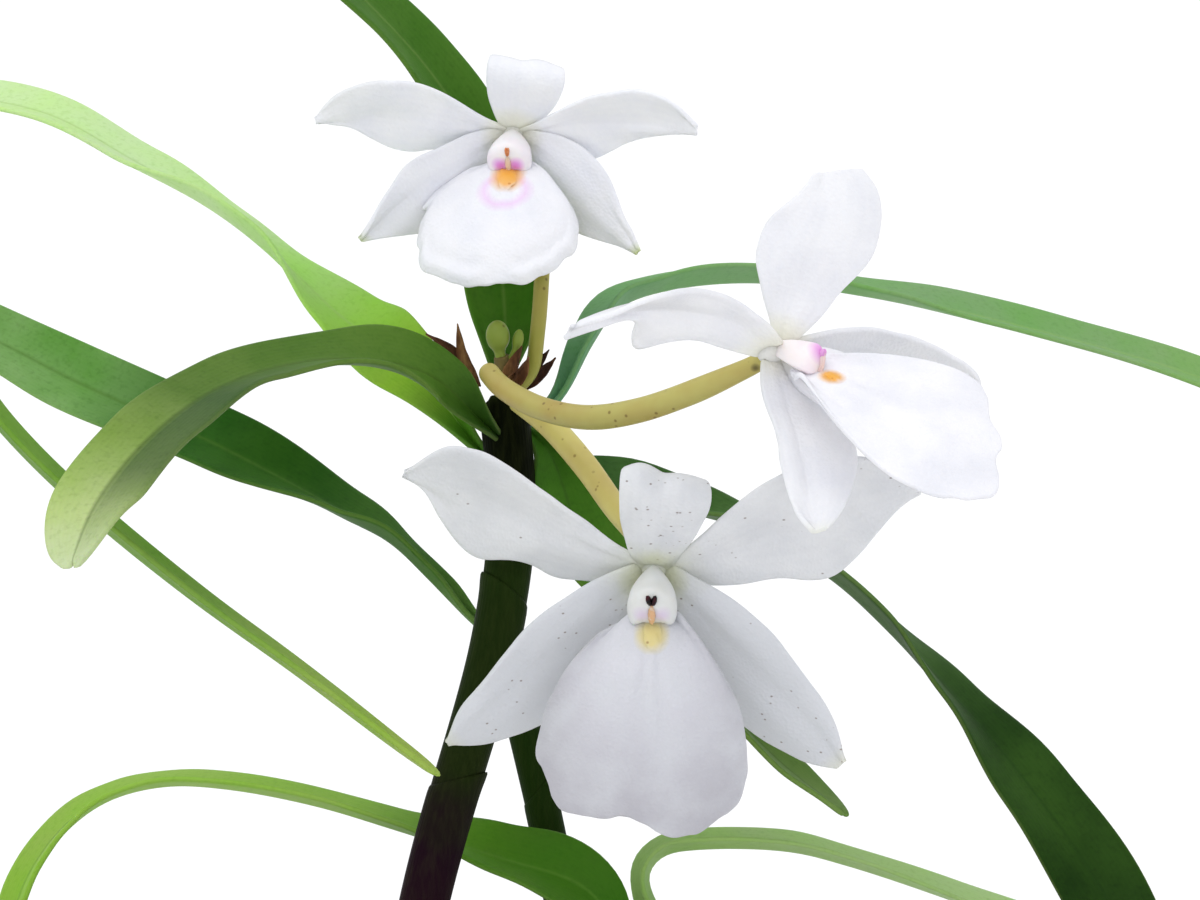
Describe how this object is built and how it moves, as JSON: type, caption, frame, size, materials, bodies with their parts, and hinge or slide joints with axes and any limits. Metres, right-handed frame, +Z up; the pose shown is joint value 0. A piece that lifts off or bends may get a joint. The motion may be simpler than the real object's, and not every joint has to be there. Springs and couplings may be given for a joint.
{
  "type": "potted orchid",
  "caption": "Potted orchid with slender leafy canes, arching strap leaves and white flowers with broad lips, rooted in bark chips in a round flat-footed clay pot.",
  "frame": {"origin": "the middle of the pot's flat foot", "axes": "+Z up from the foot through the plant's tip; -Y is the front, where the flowers face; +X is to the right seen from the front"},
  "size_m": [0.1981, 0.1096, 0.2929],
  "materials": {
    "terracotta": "matt unglazed fired clay",
    "bark": "dry chipped bark",
    "root": "pale spongy root skin and green-brown rhizome",
    "dry_bract": "thin dry papery bract",
    "bud": "satin green bud",
    "flower_stalk": "satin yellow-green with brown specks",
    "petal": "soft white with a fine sparkle",
    "lip": "soft white with a fine sparkle",
    "column": "waxy white",
    "anther": "dark purple cap",
    "callus": "soft yellow",
    "leaf": "satin green leaf",
    "cane": "satin green, purple-brown towards the foot"
  },
  "bodies": {
    "root": {"back_cane": "cane", "back_cane_leaf_left": "leaf", "back_cane_leaf_right": "leaf", "clay_pot": "terracotta", "dry_bracts_left": "dry_bract", "dry_bracts_right": "dry_bract", "flower_buds": "bud", "flowering_cane": "cane", "flowering_cane_leaf_left": "leaf", "flowering_cane_leaf_right": "leaf", "front_bloom_anther": "anther", "front_bloom_callus": "callus", "front_bloom_column": "column", "front_bloom_lip": "lip", "front_bloom_tepals": "petal", "leaf_front_left": "leaf", "leaf_left": "leaf", "leaf_low_left": "leaf", "leaf_low_right": "leaf", "leaf_right": "leaf", "leaf_short": "leaf", "leaf_thin": "leaf", "leaf_upper_left": "leaf", "leaf_upper_right": "leaf", "leaf_upright": "leaf", "left_cane": "cane", "left_cane_leaf_back": "leaf", "left_cane_leaf_left": "leaf", "left_cane_leaf_low": "leaf", "left_cane_leaf_top": "leaf", "old_cane": "cane", "potting_bark": "bark", "rhizome_and_roots": "root", "right_bloom_anther": "anther", "right_bloom_callus": "callus", "right_bloom_column": "column", "right_bloom_lip": "lip", "right_bloom_tepals": "petal", "right_cane": "cane", "right_cane_leaf_front": "leaf", "right_cane_leaf_right": "leaf", "stalk_front": "flower_stalk", "stalk_right": "flower_stalk", "stalk_top": "flower_stalk", "top_bloom_anther": "anther", "top_bloom_callus": "callus", "top_bloom_column": "column", "top_bloom_lip": "lip", "top_bloom_tepals": "petal", "young_shoot": "cane", "young_shoot_leaf_left": "leaf", "young_shoot_leaf_right": "leaf"}
  },
  "joints": []
}
